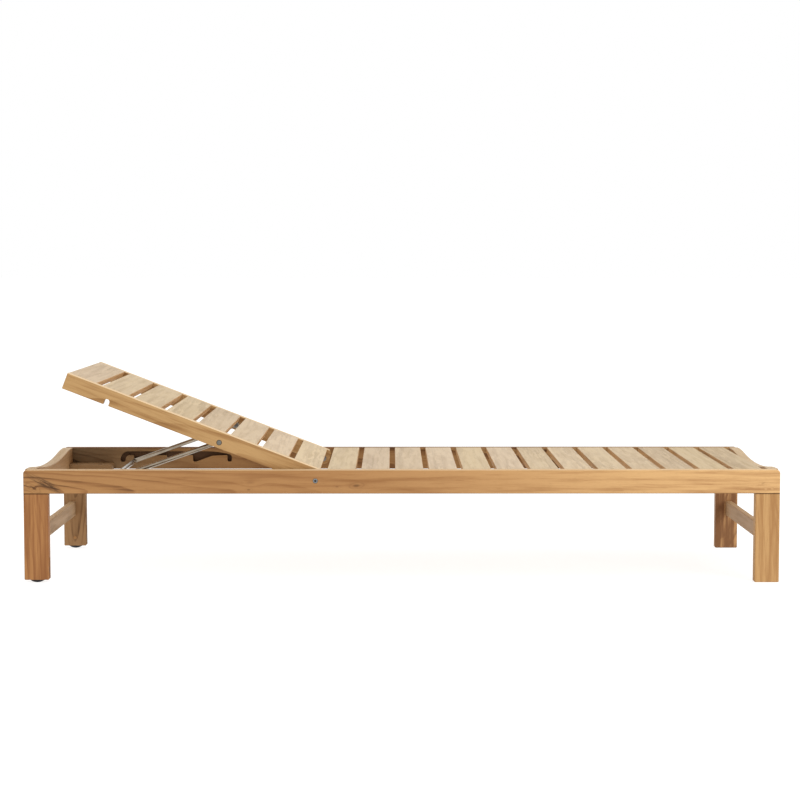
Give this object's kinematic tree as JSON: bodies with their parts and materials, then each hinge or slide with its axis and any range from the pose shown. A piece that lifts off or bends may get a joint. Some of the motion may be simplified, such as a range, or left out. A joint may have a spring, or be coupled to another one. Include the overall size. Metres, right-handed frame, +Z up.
{
  "type": "sun lounger",
  "caption": "Slatted timber sun lounger with a wheeled head end and a lifting backrest held by a steel prop whose cross rod drops into ratchet tracks in the side rails.",
  "frame": {"origin": "floor point under the centre of the frame", "axes": "+X towards the foot end, +Y towards the sitter's left, +Z up"},
  "size_m": [2, 0.65, 0.5551],
  "materials": {
    "rail_teak": "oiled",
    "leg_teak": "oiled",
    "peg_teak": "oiled",
    "inner_teak": "oiled",
    "slat_teak": "sanded",
    "back_teak": "oiled",
    "prop_steel": "brushed",
    "bolt_steel": "brushed",
    "wheel_black": "matt"
  },
  "bodies": {
    "frame": {"side_rail_right": "rail_teak", "side_rail_left": "rail_teak", "head_rail": "rail_teak", "foot_rail": "rail_teak", "head_leg_right": "leg_teak", "head_leg_left": "leg_teak", "foot_leg_right": "leg_teak", "foot_leg_left": "leg_teak", "leg_pegs": "peg_teak", "head_stretcher": "inner_teak", "foot_stretcher": "inner_teak", "rest_block_right": "inner_teak", "rest_block_left": "inner_teak", "seat_slat_1": "slat_teak", "seat_slat_2": "slat_teak", "seat_slat_3": "slat_teak", "seat_slat_4": "slat_teak", "seat_slat_5": "slat_teak", "seat_slat_6": "slat_teak", "seat_slat_7": "slat_teak", "seat_slat_8": "slat_teak", "seat_slat_9": "slat_teak", "seat_slat_10": "slat_teak", "seat_slat_11": "slat_teak", "seat_slat_12": "slat_teak", "seat_slat_13": "slat_teak", "axle_right": "bolt_steel", "axle_left": "bolt_steel", "pivot_bolt_right": "bolt_steel", "pivot_bolt_left": "bolt_steel", "pivot_spacer_right": "bolt_steel", "pivot_spacer_left": "bolt_steel", "pivot_nut_right": "bolt_steel", "pivot_nut_left": "bolt_steel"},
    "backrest": {"backrest_rail_right": "back_teak", "backrest_rail_left": "back_teak", "back_slat_1": "slat_teak", "back_slat_2": "slat_teak", "back_slat_3": "slat_teak", "back_slat_4": "slat_teak", "back_slat_5": "slat_teak", "back_slat_6": "slat_teak", "back_slat_7": "slat_teak", "back_slat_8": "slat_teak", "prop_bolt_right": "bolt_steel", "prop_bolt_left": "bolt_steel", "prop_spacer_right": "bolt_steel", "prop_spacer_left": "bolt_steel", "prop_nut_right": "bolt_steel", "prop_nut_left": "bolt_steel"},
    "prop": {"prop_arm_right": "prop_steel", "prop_arm_left": "prop_steel", "cross_rod": "prop_steel"},
    "wheel_right": {"wheel_right": "wheel_black"},
    "wheel_left": {"wheel_left": "wheel_black"}
  },
  "joints": [
    {"name": "backrest_hinge", "type": "hinge", "parent": "frame", "child": "backrest", "pos_m": [-0.229, 0, 0.271], "axis": [0, 1, 0], "range_deg": [-21.1, 47.4]},
    {"name": "prop_pivot", "type": "hinge", "parent": "backrest", "child": "prop", "pos_m": [-0.4851, 0, 0.36982], "axis": [0, 1, 0], "range_deg": [-86.5, 38.6]},
    {"name": "wheel_right_spin", "type": "hinge", "parent": "frame", "child": "wheel_right", "pos_m": [-0.9675, -0.311, 0.032], "axis": [0, 1, 0], "continuous": true},
    {"name": "wheel_left_spin", "type": "hinge", "parent": "frame", "child": "wheel_left", "pos_m": [-0.9675, 0.311, 0.032], "axis": [0, 1, 0], "continuous": true}
  ],
  "couplings": [
    {"joint": "prop_pivot", "follows": "backrest_hinge", "ratio": -1.81}
  ]
}
